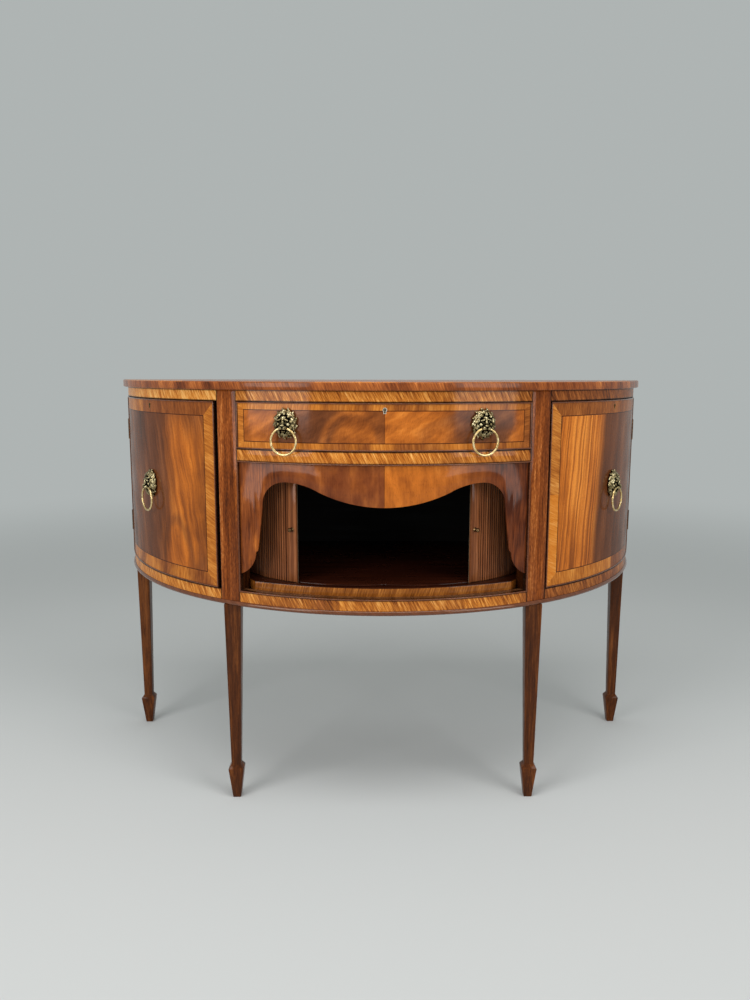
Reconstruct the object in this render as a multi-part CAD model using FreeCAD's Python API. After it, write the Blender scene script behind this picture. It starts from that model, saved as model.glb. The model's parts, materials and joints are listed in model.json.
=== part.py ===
import FreeCAD, Part
import math
import os
from FreeCAD import Vector

# Demilune sideboard in millimetres: +Z up, front towards -Y, origin on the floor under the middle.
# The plan is a circle cut off by a straight back. Angles run round that circle from the front
# middle, positive towards +X.

# Overall
height = 914.0
depth = 528.0
top_radius = 676.0
top_thickness = 17.5
top_overhang = 11.0
top_edge_chamfer = 2.0

# Rails and bays of the carcase
rail_thickness = 22.0
top_rail_height = 22.5
drawer_opening_height = 98.0
divider_height = 24.5
recess_height = 275.5
bottom_rail_height = 34.0
side_rail_height = 31.5
middle_half_width = 304.0
stile_width = 43.0
stile_depth = 38.0
back_post_width = 38.0
back_post_depth = 42.0
bottom_bead_height = 9.5
bottom_bead_projection = 4.0
bottom_bead_sag = 3.0

# Legs and spade feet
front_leg_size = 36.0
front_leg_setback = 21.0
front_foot_setback = 13.0
front_leg_shift = 7.2
front_foot_shift = 3.5
back_leg_size = 31.0
back_leg_inset = 3.0
back_leg_shift = 4.5
back_foot_shift = 5.8
ankle_size = 20.5
foot_height = 78.0
foot_shoulder_height = 69.0
foot_shoulder_size = 33.0
foot_floor_size = 17.0

# Small round-nosed beads on the drawer, doors and recess
cockbead_thickness = 2.6
cockbead_width = 12.0
cockbead_projection = 2.0
cockbead_sag = 1.1

# Arched apron of the recess: drops from the top of the recess, insets from the stile
apron_thickness = 12.0
apron_setback = 4.0
arch_dip_drop = 87.5
arch_dip_end_inset = 172.0
arch_dip_end_drop = 58.5
arch_shoulder_inset = 102.0
arch_shoulder_drop = 40.0
arch_side_inset = 54.0
arch_side_drop = 89.5
arch_heel_inset = 42.5
arch_heel_drop = 186.5
arch_step_inset = 37.5
arch_step_drop = 190.5
arch_curl_radius = 52.0

# Boards inside
bottom_board_thickness = 18.0
floor_thickness = 20.5
ledge_half_width = 272.0
ceiling_thickness = 14.0
ceiling_half_width = 290.0
partition_thickness = 12.0
partition_gap = 5.0
back_thickness = 10.0
glue_block_length = 45.0
glue_block_height = 18.0
glue_block_depth = 18.0

# Drawer
drawer_gap = 1.3
drawer_side_thickness = 10.0
drawer_side_gap = 1.6
drawer_side_drop = 4.0
drawer_back_thickness = 11.0
drawer_back_drop = 8.0
drawer_back_space = 25.0
drawer_bottom_thickness = 6.0
drawer_bottom_raise = 7.0
runner_width = 30.0
guide_height = 22.0
slide_clearance = 0.3

# End doors and their butt hinges
door_thickness = 20.0
door_gap = 1.6
left_door_free_gap = 8.5
right_door_free_gap = 2.4
leaf_thickness = 1.2
leaf_gap = 1.3
leaf_clearance = 0.05
leaf_width = 15.0
hinge_height = 51.0
hinge_inset = 58.0
knuckle_radius = 1.8
knuckle_clearance = 0.25
hinge_pin_radius = 0.9
pin_clearance = 0.06
knuckle_stand_off = 0.1

# Locks, keyhole threads
lock_width = 50.0
lock_height = 30.0
lock_depth = 12.0
lock_let_in = 2.0
lock_drop = 3.5
keyhole_drop = 13.0
thread_radius = 4.4
thread_tail_width = 5.6
thread_tail_length = 8.0
thread_wall = 1.1
thread_let_in = 3.0
thread_proud = 0.3

# Lion masks and ring pulls
mask_width = 52.0
mask_height = 62.0
mask_depth = 24.0
mask_lobes = 16
mask_drawer_half_span = 197.0
mask_drawer_raise = 6.0
mask_door_raise = 7.0
face_width = 32.0
face_height = 40.0
face_sides = 14
muzzle_width = 15.0
muzzle_height = 13.0
muzzle_drop = 9.0
nose_width = 8.0
nose_height = 17.0
nose_raise = 3.0
brow_width = 11.0
brow_height = 5.0
brow_spread = 7.5
brow_raise = 10.5
beard_width = 15.0
beard_height = 13.0
beard_drop = 19.0
stud_radius = 2.4
nut_radius = 6.0
nut_height = 4.5
ring_radius = 27.0
ring_wire_radius = 2.4
ring_pin_half_length = 8.4
ring_pivot_drop = 9.5
ring_pivot_reach = 15.0
ring_bore_clearance = 0.08

# Tambour doors: reeded slats on canvas, turning about an upright axis in circular grooves
tambour_radius = 290.0
tambour_centre_x = 60.0
tambour_set_back = 18.0
tambour_span = 66.0
tambour_lead_x = 183.0
tambour_meeting_gap = 0.5
slat_pitch = 6.3
slat_gap = 0.4
slat_thickness = 6.5
slat_round = 2.2
canvas_thickness = 0.8
lead_width = 20.0
groove_depth = 6.0
groove_clearance = 0.6
groove_end_room = 4.0
tambour_open_turn = 14.0
knob_radius = 4.6
knob_neck_radius = 2.2
knob_length = 13.0
knob_rose_height = 3.2
knob_raise = 113.0

# Shares of the sizes above
mane_rings_shares = ((1.0, 0.0), (1.0, 0.12), (0.8, 0.34), (0.62, 0.39))
face_rings_shares = ((1.0, 0.34), (0.85, 0.46), (0.52, 0.52))
muzzle_rings_shares = ((1.05, 0.45), (1.0, 0.85), (0.72, 1.0))
nose_rings_shares = ((1.2, 0.48), (0.8, 0.93))
brow_rings_shares = ((1.2, 0.40), (0.7, 0.64))
beard_rings_shares = ((1.1, 0.26), (0.6, 0.42))
mane_lobe_share = 0.88
glue_block_middle_share = 0.33
glue_block_end_shares = (0.16, 0.71)
hinge_knuckle_share = 1.0 / 3.0

# Cuts run past their faces by this much
overrun = 5.0

# Worked-out places
axis_y = top_radius - depth / 2
back_y = depth / 2
back_inner_y = back_y - back_thickness
face_radius = top_radius - top_overhang
rail_inner_radius = face_radius - rail_thickness
top_under = height - top_thickness
opening_top = top_under - top_rail_height
divider_top = opening_top - drawer_opening_height
recess_top = divider_top - divider_height
recess_bottom = recess_top - recess_height
carcase_bottom = recess_bottom - bottom_rail_height
door_sill = carcase_bottom + side_rail_height
floor_top = door_sill + floor_thickness
ceiling_under = recess_top - ceiling_thickness
stile_back_radius = face_radius - stile_depth
partition_inner_x = middle_half_width + stile_width + partition_gap
apron_radius = face_radius - apron_setback
apron_inner_radius = apron_radius - apron_thickness
bead_back_radius = face_radius + cockbead_projection - cockbead_width
bead_nose_radius = face_radius + cockbead_projection
up = Vector(0, 0, 1)
forward = Vector(0, -1, 0)
bow_axis = Vector(0, axis_y, 0)


def degrees_across(half_width, radius):
    return math.degrees(math.asin(half_width / radius))


inner_angle = degrees_across(middle_half_width, face_radius)
outer_angle = degrees_across(middle_half_width + stile_width, face_radius)
back_angle = math.degrees(math.acos((axis_y - back_y + back_post_width) / face_radius))
end_angle = math.degrees(math.acos((axis_y - back_y) / face_radius))
hinge_gap = 2 * (leaf_thickness + leaf_clearance) + leaf_gap
hinge_angle = back_angle - degrees_across(hinge_gap / 2, face_radius)
door_end_angle = back_angle - degrees_across(hinge_gap, face_radius)


def place(radius, angle, z=0.0, centre=bow_axis):
    turn = math.radians(angle)
    return Vector(centre.x + radius * math.sin(turn), centre.y - radius * math.cos(turn), z)


def turned(shape, angle, centre=bow_axis):
    moved = shape.copy()
    moved.rotate(centre, up, angle)
    return moved


def mirrored(shape):
    return shape.mirror(Vector(0, 0, 0), Vector(1, 0, 0))


def on_side(shape, side):
    return shape if side == "right" else mirrored(shape)


def solid_of(shape):
    return shape.removeSplitter().Solids[0]


def fused(shapes):
    return solid_of(shapes[0].multiFuse(shapes[1:]))


def line(start, end):
    return Part.LineSegment(start, end).toShape()


def arc(start, middle, end):
    return Part.Arc(start, middle, end).toShape()


def round_arc(radius, start, end, z, centre=bow_axis):
    middle = place(radius, (start + end) / 2, z, centre)
    return arc(place(radius, start, z, centre), middle, place(radius, end, z, centre))


def extruded(edges, travel):
    return Part.Face(Part.Wire(edges)).extrude(travel)


def polygon(points):
    closed = points + points[:1]
    return Part.Wire([line(a, b) for a, b in zip(closed, closed[1:])])


def block(x0, x1, y0, y1, z0, z1):
    return Part.makeBox(x1 - x0, y1 - y0, z1 - z0, Vector(x0, y0, z0))


def bow(inner, outer, start, end, bottom, top, centre=bow_axis):
    edges = [
        round_arc(outer, start, end, bottom, centre),
        line(place(outer, end, bottom, centre), place(inner, end, bottom, centre)),
        round_arc(inner, end, start, bottom, centre),
        line(place(inner, start, bottom, centre), place(outer, start, bottom, centre)),
    ]
    return extruded(edges, Vector(0, 0, top - bottom))


def drum(radius, bottom, top):
    return Part.makeCylinder(radius, top - bottom, Vector(0, axis_y, bottom))


def ruled(wires):
    return Part.makeLoft(wires, True, True)


# A strip that follows the bow, with a rounded nose
def bow_strip(back, nose, sag, start, end, bottom, top):
    middle = (bottom + top) / 2

    def corner(radius, z):
        return Vector(0, axis_y - radius, z)

    edges = [
        line(corner(back, bottom), corner(nose - sag, bottom)),
        arc(corner(nose - sag, bottom), corner(nose, middle), corner(nose - sag, top)),
        line(corner(nose - sag, top), corner(back, top)),
        line(corner(back, top), corner(back, bottom)),
    ]
    strip = Part.Face(Part.Wire(edges)).revolve(bow_axis, up, end - start)
    return turned(strip.Solids[0], start)


# An upright strip with a rounded nose, standing on the inner side of the given angle
def upright_strip(angle, inward, bottom, top):
    side = inward * cockbead_thickness

    def corner(x, radius):
        return Vector(x, axis_y - radius, bottom)

    shoulder = bead_nose_radius - cockbead_sag
    edges = [
        line(corner(0, bead_back_radius), corner(0, shoulder)),
        arc(corner(0, shoulder), corner(side / 2, bead_nose_radius), corner(side, shoulder)),
        line(corner(side, shoulder), corner(side, bead_back_radius)),
        line(corner(side, bead_back_radius), corner(0, bead_back_radius)),
    ]
    return turned(extruded(edges, Vector(0, 0, top - bottom)), angle)


def bead_frame(start, end, bottom, top):
    low = bottom + cockbead_thickness
    high = top - cockbead_thickness
    return [
        bow_strip(bead_back_radius, bead_nose_radius, cockbead_sag, start, end, bottom, low),
        bow_strip(bead_back_radius, bead_nose_radius, cockbead_sag, start, end, high, top),
        upright_strip(start, 1, low, high),
        upright_strip(end, -1, low, high),
    ]


# Top: a disc with eased rims, cut off by the straight back
def make_top():
    disc = drum(top_radius, top_under, height)
    rims = [edge for edge in disc.Edges if isinstance(edge.Curve, Part.Circle)]
    eased = disc.makeChamfer(top_edge_chamfer, rims)
    reach = top_radius + overrun
    behind = block(-reach, reach, back_y, axis_y + reach, top_under - overrun, height + overrun)
    return solid_of(eased.cut(behind))


# Square section of a leg
def leg_square(centre, size, z):
    half = size / 2
    corners = [Vector(x, y, z) for x, y in ((-half, -half), (half, -half), (half, half), (-half, half))]
    wire = polygon(corners)
    wire.translate(Vector(centre.x, centre.y, 0))
    return wire


def tapered_leg(post, head, size, foot):
    taper = ruled([leg_square(head, size, carcase_bottom), leg_square(foot, ankle_size, foot_height)])
    shoulder = ruled([leg_square(foot, ankle_size, foot_height),
                      leg_square(foot, foot_shoulder_size, foot_shoulder_height)])
    spade = ruled([leg_square(foot, foot_shoulder_size, foot_shoulder_height),
                   leg_square(foot, foot_floor_size, 0.0)])
    return fused([post, taper, shoulder, spade])


def stile_post():
    return bow(stile_back_radius, face_radius, inner_angle, outer_angle, carcase_bottom, top_under)


def back_post():
    inner = place(face_radius - back_post_depth, back_angle, carcase_bottom)
    heel = Vector(inner.x, back_y, carcase_bottom)
    edges = [
        round_arc(face_radius, back_angle, end_angle, carcase_bottom),
        line(place(face_radius, end_angle, carcase_bottom), heel),
        line(heel, inner),
        line(inner, place(face_radius, back_angle, carcase_bottom)),
    ]
    return extruded(edges, Vector(0, 0, top_under - carcase_bottom))


def make_front_leg():
    middle = (inner_angle + outer_angle) / 2
    head = place(face_radius - front_leg_setback, middle) + Vector(front_leg_shift, 0, 0)
    foot = place(face_radius - front_foot_setback, middle) + Vector(front_foot_shift, 0, 0)
    return tapered_leg(stile_post(), head, front_leg_size, foot)


def back_leg_centre():
    inner = place(face_radius - back_post_depth, back_angle)
    half = back_leg_size / 2
    return Vector(inner.x + half + back_leg_inset, back_y - half - back_leg_inset, 0)


def make_back_leg():
    centre = back_leg_centre()
    head = centre + Vector(back_leg_shift, 0, 0)
    foot = centre + Vector(back_foot_shift, 0, 0)
    return tapered_leg(back_post(), head, back_leg_size, foot)


# Outline of the space under the arch, level at the dip and at the shoulders
def level_arc(apex, end):
    run = end.x - apex.x
    rise = end.z - apex.z
    radius = (run * run + rise * rise) / (2 * rise)
    half = math.asin(run / radius) / 2
    middle = Vector(apex.x + radius * math.sin(half), 0, apex.z + radius * (1 - math.cos(half)))
    return arc(apex, middle, end)


def arch_half():
    def point(inset, drop):
        return Vector(middle_half_width - inset, 0, recess_top - drop)

    dip = point(middle_half_width, arch_dip_drop)
    dip_end = point(arch_dip_end_inset, arch_dip_end_drop)
    shoulder = point(arch_shoulder_inset, arch_shoulder_drop)
    side = point(arch_side_inset, arch_side_drop)
    heel = point(arch_heel_inset, arch_heel_drop)
    step = point(arch_step_inset, arch_step_drop)
    curl_centre = step + Vector(arch_curl_radius, 0, 0)
    slant = arch_curl_radius * math.sqrt(0.5)
    tip = curl_centre - Vector(0, 0, arch_curl_radius)
    bottom = Vector(tip.x, 0, recess_bottom - overrun)
    edges = [
        level_arc(dip, dip_end),
        level_arc(shoulder, dip_end),
        level_arc(shoulder, side),
        line(side, heel),
        line(heel, step),
        arc(step, curl_centre - Vector(slant, 0, slant), tip),
        line(tip, bottom),
        line(bottom, Vector(0, 0, bottom.z)),
        line(Vector(0, 0, bottom.z), dip),
    ]
    face = Part.Face(Part.Wire(Part.__sortEdges__(edges)))
    return face.extrude(Vector(0, -top_radius, 0))


def make_apron():
    end = inner_angle - degrees_across(cockbead_thickness, bead_back_radius)
    panel = bow(apron_inner_radius, apron_radius, -end, end, recess_bottom, recess_top - cockbead_thickness)
    space = arch_half()
    return solid_of(panel.cut(space).cut(mirrored(space)))


# Boards of the middle compartment: they pass behind the stiles and stop at the partitions
def compartment_board(front_radius, front_half_width, bottom, top):
    front = degrees_across(front_half_width, front_radius)
    corners = [
        place(front_radius, front, bottom),
        place(stile_back_radius, inner_angle, bottom),
        place(stile_back_radius, outer_angle, bottom),
    ]
    corners.append(Vector(partition_inner_x, corners[-1].y, bottom))
    corners.append(Vector(partition_inner_x, back_inner_y, bottom))
    path = corners + [Vector(-c.x, c.y, c.z) for c in reversed(corners)]
    edges = [line(a, b) for a, b in zip(path, path[1:])]
    edges.append(round_arc(front_radius, -front, front, bottom))
    return extruded(Part.__sortEdges__(edges), Vector(0, 0, top - bottom))


def tambour_centre():
    front = place(rail_inner_radius, degrees_across(tambour_centre_x, rail_inner_radius))
    return Vector(tambour_centre_x, front.y + tambour_set_back + tambour_radius, 0)


tambour_axis = tambour_centre()
tambour_rest = degrees_across(tambour_lead_x - tambour_centre_x, tambour_radius)
tambour_closed = degrees_across(tambour_meeting_gap / 2 - tambour_centre_x, tambour_radius)
canvas_inner_radius = tambour_radius - slat_thickness - canvas_thickness


# Circular grooves that the tambour's ends run in
def groove_pair(bottom, top):
    room = math.degrees(groove_end_room / tambour_radius)
    start = tambour_closed - room
    end = tambour_rest + tambour_open_turn + tambour_span + room
    groove = bow(canvas_inner_radius - groove_clearance, tambour_radius + groove_clearance,
                 start, end, bottom, top, tambour_axis)
    return groove.fuse(mirrored(groove))


def make_compartment_floor():
    board = compartment_board(rail_inner_radius, ledge_half_width, door_sill, floor_top)
    return solid_of(board.cut(groove_pair(floor_top - groove_depth, floor_top + overrun)))


def make_compartment_ceiling():
    board = compartment_board(apron_inner_radius, ceiling_half_width, ceiling_under, recess_top)
    return solid_of(board.cut(groove_pair(ceiling_under - overrun, ceiling_under + groove_depth)))


def make_bottom_board():
    board = drum(rail_inner_radius, door_sill - bottom_board_thickness, door_sill)
    reach = rail_inner_radius + overrun
    behind = block(-reach, reach, back_inner_y, axis_y + reach, carcase_bottom, recess_top)
    posts = [stile_post(), mirrored(stile_post()), back_post(), mirrored(back_post())]
    return solid_of(board.cut([behind] + posts))


def make_partition():
    outer_x = partition_inner_x + partition_thickness
    board = block(partition_inner_x, outer_x, axis_y - face_radius, back_inner_y, door_sill, top_under)
    return solid_of(board.common(drum(rail_inner_radius, door_sill, top_under)))


def make_back_panel():
    half = place(face_radius - back_post_depth, back_angle).x
    return block(-half, half, back_inner_y, back_y, carcase_bottom, top_under)


def make_glue_blocks():
    half = math.degrees(glue_block_length / rail_inner_radius) / 2
    inner = rail_inner_radius - glue_block_depth
    first = degrees_across(partition_inner_x + partition_thickness, inner) + half
    last = back_angle - half
    angles = [glue_block_middle_share * inner_angle]
    angles += [first + share * (last - first) for share in glue_block_end_shares]
    blocks = [bow(inner, rail_inner_radius, angle - half, angle + half, top_under - glue_block_height, top_under)
              for angle in angles]
    return blocks + [mirrored(shape) for shape in blocks]


# Drawer: bowed front, straight sides that run on L-shaped runners
drawer_bottom_z = divider_top + drawer_gap
drawer_top_z = opening_top - drawer_gap
drawer_angle = inner_angle - degrees_across(drawer_gap, face_radius)
drawer_side_x = place(stile_back_radius, inner_angle).x - drawer_side_gap
drawer_back_y = back_inner_y - drawer_back_space


def make_runner():
    inner = drawer_side_x - drawer_side_thickness - drawer_gap
    outer = inner + runner_width
    front_y = axis_y - face_radius
    under = block(inner, outer, front_y, back_inner_y, recess_top, drawer_bottom_z - slide_clearance)
    guide = block(drawer_side_x + slide_clearance, outer, front_y, back_inner_y,
                  recess_top, drawer_bottom_z + guide_height)
    return solid_of(fused([under, guide]).common(drum(stile_back_radius, recess_top, opening_top)))


def make_kicker():
    inner = drawer_side_x - drawer_side_thickness - drawer_gap
    bar = block(inner, inner + runner_width, axis_y - face_radius, back_inner_y,
                drawer_top_z - drawer_side_drop + slide_clearance, top_under)
    return solid_of(bar.common(drum(stile_back_radius, divider_top, top_under)))


def make_drawer_side():
    side = block(drawer_side_x - drawer_side_thickness, drawer_side_x, axis_y - face_radius, drawer_back_y,
                 drawer_bottom_z, drawer_top_z - drawer_side_drop)
    return solid_of(side.common(drum(rail_inner_radius, divider_top, opening_top)))


def make_drawer_back():
    half = drawer_side_x - drawer_side_thickness
    return block(-half, half, drawer_back_y - drawer_back_thickness, drawer_back_y,
                 drawer_bottom_z + drawer_bottom_raise + drawer_bottom_thickness,
                 drawer_top_z - drawer_back_drop)


def make_drawer_bottom():
    half = drawer_side_x - drawer_side_thickness
    bottom = drawer_bottom_z + drawer_bottom_raise
    board = block(-half, half, axis_y - face_radius, drawer_back_y, bottom, bottom + drawer_bottom_thickness)
    return solid_of(board.common(drum(rail_inner_radius, divider_top, opening_top)))


# Keyhole shapes, drilled square to the face at the front middle
def keyhole(wall, depth_in, proud, z):
    radius = thread_radius - wall
    half = thread_tail_width / 2 - wall
    face_y = axis_y - face_radius
    eye = Part.makeCylinder(radius, depth_in + proud, Vector(0, face_y - proud, z), Vector(0, 1, 0))
    tail = block(-half, half, face_y - proud, face_y + depth_in, z - thread_tail_length + wall, z)
    return fused([eye, tail])


def make_thread(z):
    outside = keyhole(0.0, thread_let_in, thread_proud, z)
    return solid_of(outside.cut(keyhole(thread_wall, thread_let_in + overrun, overrun, z)))


def make_lock_case(panel_inner_radius, panel_top):
    front_y = axis_y - panel_inner_radius - lock_let_in
    top = panel_top - lock_drop
    return block(-lock_width / 2, lock_width / 2, front_y, front_y + lock_depth, top - lock_height, top)


# Lion mask: faceted mane, face, brows, nose, muzzle and beard on the face at the front middle
def star(width, tall, sides, dent):
    points = []
    for i in range(sides):
        turn = 2 * math.pi * i / sides
        reach = dent if i % 2 else 1.0
        points.append((width / 2 * reach * math.cos(turn), tall / 2 * reach * math.sin(turn)))
    return points


def rectangle(width, tall):
    return [(-width / 2, -tall / 2), (width / 2, -tall / 2), (width / 2, tall / 2), (-width / 2, tall / 2)]


def relief(outline, rings_shares, x=0.0, z=0.0):
    face_y = axis_y - face_radius
    wires = []
    for scale, share in rings_shares:
        y = face_y - share * mask_depth
        wires.append(polygon([Vector(x + scale * px, y, z + scale * pz) for px, pz in outline]))
    return ruled(wires)


def make_mask(panel_inner_radius):
    forms = [
        relief(star(mask_width, mask_height, 2 * mask_lobes, mane_lobe_share), mane_rings_shares),
        relief(star(face_width, face_height, face_sides, 1.0), face_rings_shares),
        relief(rectangle(muzzle_width, muzzle_height), muzzle_rings_shares, 0.0, -muzzle_drop),
        relief(rectangle(nose_width, nose_height), nose_rings_shares, 0.0, nose_raise),
        relief(rectangle(brow_width, brow_height), brow_rings_shares, -brow_spread, brow_raise),
        relief(rectangle(brow_width, brow_height), brow_rings_shares, brow_spread, brow_raise),
        relief(rectangle(beard_width, beard_height), beard_rings_shares, 0.0, -beard_drop),
    ]
    stud_length = face_radius - panel_inner_radius + nut_height + overrun / 2
    face = Vector(0, axis_y - face_radius, 0)
    stud = Part.makeCylinder(stud_radius, stud_length, face, Vector(0, 1, 0))
    bore = Part.makeCylinder(ring_wire_radius + ring_bore_clearance, mask_width,
                             ring_pivot() - Vector(mask_width / 2, 0, 0), Vector(1, 0, 0))
    body = fused(forms).cut(drum(face_radius, -mask_height, mask_height)).cut(bore)
    return fused([solid_of(body), stud])


def make_nut(panel_inner_radius):
    seat = Vector(0, axis_y - panel_inner_radius, 0)
    hexagon = [Vector(nut_radius * math.cos(math.pi * i / 3), 0, nut_radius * math.sin(math.pi * i / 3))
               for i in range(6)]
    nut = Part.Face(polygon(hexagon)).extrude(Vector(0, nut_height, 0))
    nut.translate(seat)
    seated = nut.common(drum(panel_inner_radius, -2 * nut_radius, 2 * nut_radius))
    return solid_of(seated.cut(Part.makeCylinder(stud_radius, nut_height, seat, Vector(0, 1, 0))))


def stud_hole(panel_inner_radius):
    start = Vector(0, axis_y - face_radius - overrun, 0)
    return Part.makeCylinder(stud_radius, face_radius - panel_inner_radius + 2 * overrun, start, Vector(0, 1, 0))


def ring_pivot():
    return Vector(0, axis_y - face_radius - ring_pivot_reach, -ring_pivot_drop)


# Ring pull: a torus closed by a straight pin that turns in the muzzle
def make_ring():
    pivot = ring_pivot()
    drop = math.sqrt(ring_radius ** 2 - ring_pin_half_length ** 2)
    centre = pivot - Vector(0, 0, drop)
    opening = math.degrees(math.asin(ring_pin_half_length / ring_radius))
    start = Vector(ring_pin_half_length, pivot.y, pivot.z)
    along = Vector(drop, 0, -ring_pin_half_length)
    section = Part.Face(Part.Wire(Part.makeCircle(ring_wire_radius, start, along)))
    loop = section.revolve(centre, Vector(0, 1, 0), 360.0 - 2 * opening)
    pin = Part.makeCylinder(ring_wire_radius, 2 * ring_pin_half_length, pivot - Vector(ring_pin_half_length, 0, 0),
                            Vector(1, 0, 0))
    return fused([loop.Solids[0], pin])


def set_at(shape, angle, z):
    moved = shape.copy()
    moved.translate(Vector(0, 0, z))
    return turned(moved, angle)


# Butt hinge: leaves in the gap between door and leg, knuckles proud of the face
def hinge_leaf(side, knuckles):
    inner = leaf_gap / 2
    near, far = sorted((side * inner, side * (inner + leaf_thickness)))
    pin_y = axis_y - hinge_pin_place
    knuckle_height = hinge_height * hinge_knuckle_share
    plate_front = axis_y - face_radius
    forms = [block(near, far, plate_front, plate_front + leaf_width, 0.0, hinge_height)]
    for i in knuckles:
        low = i * knuckle_height + knuckle_clearance
        tall = knuckle_height - 2 * knuckle_clearance
        forms.append(block(near, far, pin_y, plate_front, low, low + tall))
        forms.append(Part.makeCylinder(knuckle_radius, tall, Vector(0, pin_y, low)))
    bore = Part.makeCylinder(hinge_pin_radius + pin_clearance, hinge_height + 2 * overrun,
                             Vector(0, pin_y, -overrun))
    return solid_of(fused(forms).cut(bore))


hinge_pin_place = face_radius + knuckle_stand_off + knuckle_radius


def make_hinge_pin():
    return Part.makeCylinder(hinge_pin_radius, hinge_height, Vector(0, axis_y - hinge_pin_place, 0))


hinge_heights = (door_sill + hinge_inset, opening_top - hinge_inset - hinge_height)


def hinge_group(shapes):
    return [set_at(shape, hinge_angle, z) for z in hinge_heights for shape in shapes]


# End door: bowed panel with let-in cockbead, lock, mask and hinge leaves
door_inner_radius = face_radius - door_thickness
door_bottom_z = door_sill + door_gap
door_top_z = opening_top - door_gap
door_middle_angle = (outer_angle + back_angle) / 2
door_mask_z = (door_bottom_z + door_top_z) / 2 + mask_door_raise


def save_door(side, free_gap):
    start = outer_angle + degrees_across(free_gap, face_radius)
    beads = bead_frame(start, door_end_angle, door_bottom_z, door_top_z)
    lock = turned(make_lock_case(door_inner_radius, door_top_z), door_middle_angle)
    key_z = door_top_z - keyhole_drop
    holes = [
        lock,
        turned(keyhole(0.0, thread_let_in, overrun, key_z), door_middle_angle),
        turned(keyhole(thread_wall, door_thickness + overrun, overrun, key_z), door_middle_angle),
        set_at(stud_hole(door_inner_radius), door_middle_angle, door_mask_z),
    ]
    panel = bow(door_inner_radius, face_radius, start, door_end_angle, door_bottom_z, door_top_z)
    mask = [set_at(shape, door_middle_angle, door_mask_z)
            for shape in (make_mask(door_inner_radius), make_nut(door_inner_radius))]
    save("door_" + side, [solid_of(panel.cut(beads + holes))], side)
    save("door_cockbead_" + side, beads, side)
    save("door_lock_" + side, [lock, turned(make_thread(key_z), door_middle_angle)], side)
    save("door_mask_" + side, mask, side)
    save("door_ring_" + side, [set_at(make_ring(), door_middle_angle, door_mask_z)], side)
    save("hinge_door_" + side, hinge_group([hinge_leaf(-1, (1,))]), side)
    save("hinge_frame_" + side, hinge_group([hinge_leaf(1, (0, 2)), make_hinge_pin()]), side)


# Drawer with two masks and rings
drawer_mask_z = (drawer_bottom_z + drawer_top_z) / 2 + mask_drawer_raise
drawer_mask_angle = degrees_across(mask_drawer_half_span, face_radius)


def save_drawer():
    beads = bead_frame(-drawer_angle, drawer_angle, drawer_bottom_z, drawer_top_z)
    lock = make_lock_case(rail_inner_radius, drawer_top_z)
    key_z = drawer_top_z - keyhole_drop
    holes = [lock, keyhole(0.0, thread_let_in, overrun, key_z),
             keyhole(thread_wall, rail_thickness + overrun, overrun, key_z)]
    for angle in (-drawer_mask_angle, drawer_mask_angle):
        holes.append(set_at(stud_hole(rail_inner_radius), angle, drawer_mask_z))
    panel = bow(rail_inner_radius, face_radius, -drawer_angle, drawer_angle, drawer_bottom_z, drawer_top_z)
    save("drawer_front", [solid_of(panel.cut(beads + holes))])
    save("drawer_cockbead", beads)
    save("drawer_lock", [lock, make_thread(key_z)])
    save("drawer_back", [make_drawer_back()])
    save("drawer_bottom", [make_drawer_bottom()])
    for side in ("left", "right"):
        mask = [set_at(shape, drawer_mask_angle, drawer_mask_z)
                for shape in (make_mask(rail_inner_radius), make_nut(rail_inner_radius))]
        save("drawer_side_" + side, [make_drawer_side()], side)
        save("drawer_mask_" + side, mask, side)
        save("drawer_ring_" + side, [set_at(make_ring(), drawer_mask_angle, drawer_mask_z)], side)


# Tambour door: slats, canvas behind them, lead stile with its knob
def make_slat(bottom, top):
    half = (slat_pitch - slat_gap) / 2
    back = tambour_axis.y - tambour_radius + slat_thickness
    nose = tambour_axis.y - tambour_radius
    shoulder = nose + slat_round

    def corner(x, y):
        return Vector(tambour_axis.x + x, y, bottom)

    edges = [
        line(corner(-half, back), corner(-half, shoulder)),
        arc(corner(-half, shoulder), corner(0, nose), corner(half, shoulder)),
        line(corner(half, shoulder), corner(half, back)),
        line(corner(half, back), corner(-half, back)),
    ]
    return extruded(edges, Vector(0, 0, top - bottom))


def make_knob():
    rose = Part.makeCone(knob_radius, knob_neck_radius, knob_rose_height, Vector(0, 0, 0), forward)
    neck = Part.makeCylinder(knob_neck_radius, knob_length - knob_radius, Vector(0, 0, 0), forward)
    ball = Part.makeSphere(knob_radius, Vector(0, knob_radius - knob_length, 0))
    return fused([rose, neck, ball])


def save_tambour(side):
    bottom = floor_top - groove_depth + slide_clearance
    top = ceiling_under + groove_depth - slide_clearance
    lead_end = tambour_rest + math.degrees(lead_width / tambour_radius)
    end = tambour_rest + tambour_span
    step = math.degrees(slat_pitch / tambour_radius)
    count = int((end - lead_end) / step)
    slats = []
    for i in range(count):
        slats.append(turned(make_slat(bottom, top), lead_end + (i + 0.5) * step, tambour_axis))
    canvas_outer = tambour_radius - slat_thickness
    last = lead_end + count * step
    lead = bow(canvas_outer, tambour_radius, tambour_rest, lead_end, bottom, top, tambour_axis)
    canvas = bow(canvas_inner_radius, canvas_outer, tambour_rest, last, bottom, top, tambour_axis)
    slats = [slat.cut(canvas).Solids[0] for slat in slats]
    knob = make_knob()
    knob.translate(place(tambour_radius, 0.0, floor_top + knob_raise, tambour_axis))
    save("tambour_slats_" + side, slats, side)
    save("tambour_canvas_" + side, [canvas], side)
    save("tambour_lead_" + side, [lead], side)
    save("tambour_knob_" + side, [turned(knob, (tambour_rest + lead_end) / 2, tambour_axis)], side)


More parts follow.
